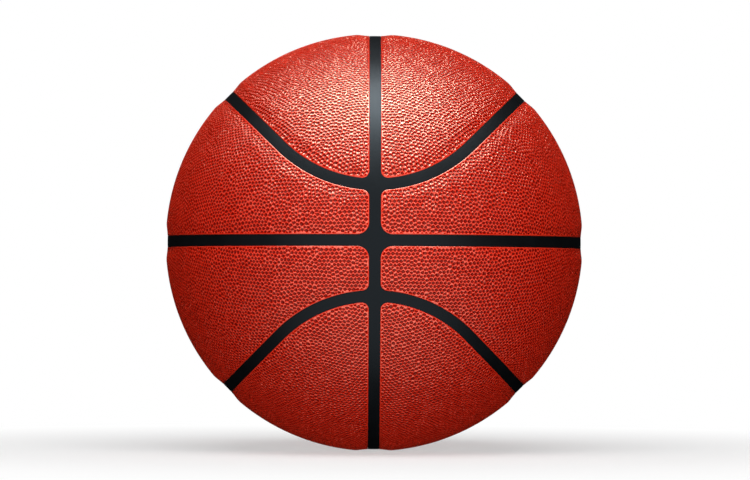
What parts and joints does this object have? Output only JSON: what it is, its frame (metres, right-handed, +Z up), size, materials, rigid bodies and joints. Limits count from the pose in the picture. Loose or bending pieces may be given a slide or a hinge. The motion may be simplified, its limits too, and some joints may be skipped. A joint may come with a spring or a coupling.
{
  "type": "basketball",
  "caption": "Laminated basketball with pebbled composite leather panels set between the black rubber ribs of its carcass, over sponge backings, a nylon winding and a valved bladder.",
  "frame": {"origin": "centre of the ball", "axes": "+Z up, the level seam in the plane z = 0, the upright seam in the plane x = 0, +Y along the valve out of the ball; the picture looks along +Y"},
  "size_m": [0.2384, 0.2374, 0.239],
  "materials": {
    "cover_leather": "pebbled, low sheen",
    "sponge_rubber": "open matte foam",
    "carcass_rubber": "moulded, satin",
    "nylon_thread": "wound thread",
    "butyl_rubber": "smooth",
    "valve_rubber": "moulded, satin",
    "plug_rubber": "moulded, satin"
  },
  "bodies": {
    "ball": {"cap_panel_upper_left": "cover_leather", "cap_panel_upper_right": "cover_leather", "cap_panel_lower_left": "cover_leather", "cap_panel_lower_right": "cover_leather", "band_panel_upper_left": "cover_leather", "band_panel_upper_right": "cover_leather", "band_panel_lower_left": "cover_leather", "band_panel_lower_right": "cover_leather", "cap_backing_upper_left": "sponge_rubber", "cap_backing_upper_right": "sponge_rubber", "cap_backing_lower_left": "sponge_rubber", "cap_backing_lower_right": "sponge_rubber", "band_backing_upper_left": "sponge_rubber", "band_backing_upper_right": "sponge_rubber", "band_backing_lower_left": "sponge_rubber", "band_backing_lower_right": "sponge_rubber", "rubber_carcass": "carcass_rubber", "nylon_winding": "nylon_thread", "bladder": "butyl_rubber", "valve_housing": "valve_rubber"},
    "plug": {"valve_plug": "plug_rubber"}
  },
  "joints": [
    {"name": "plug_pull", "type": "slide", "parent": "ball", "child": "plug", "axis": [0, 1, 0], "range_m": [0, 0.03]}
  ]
}
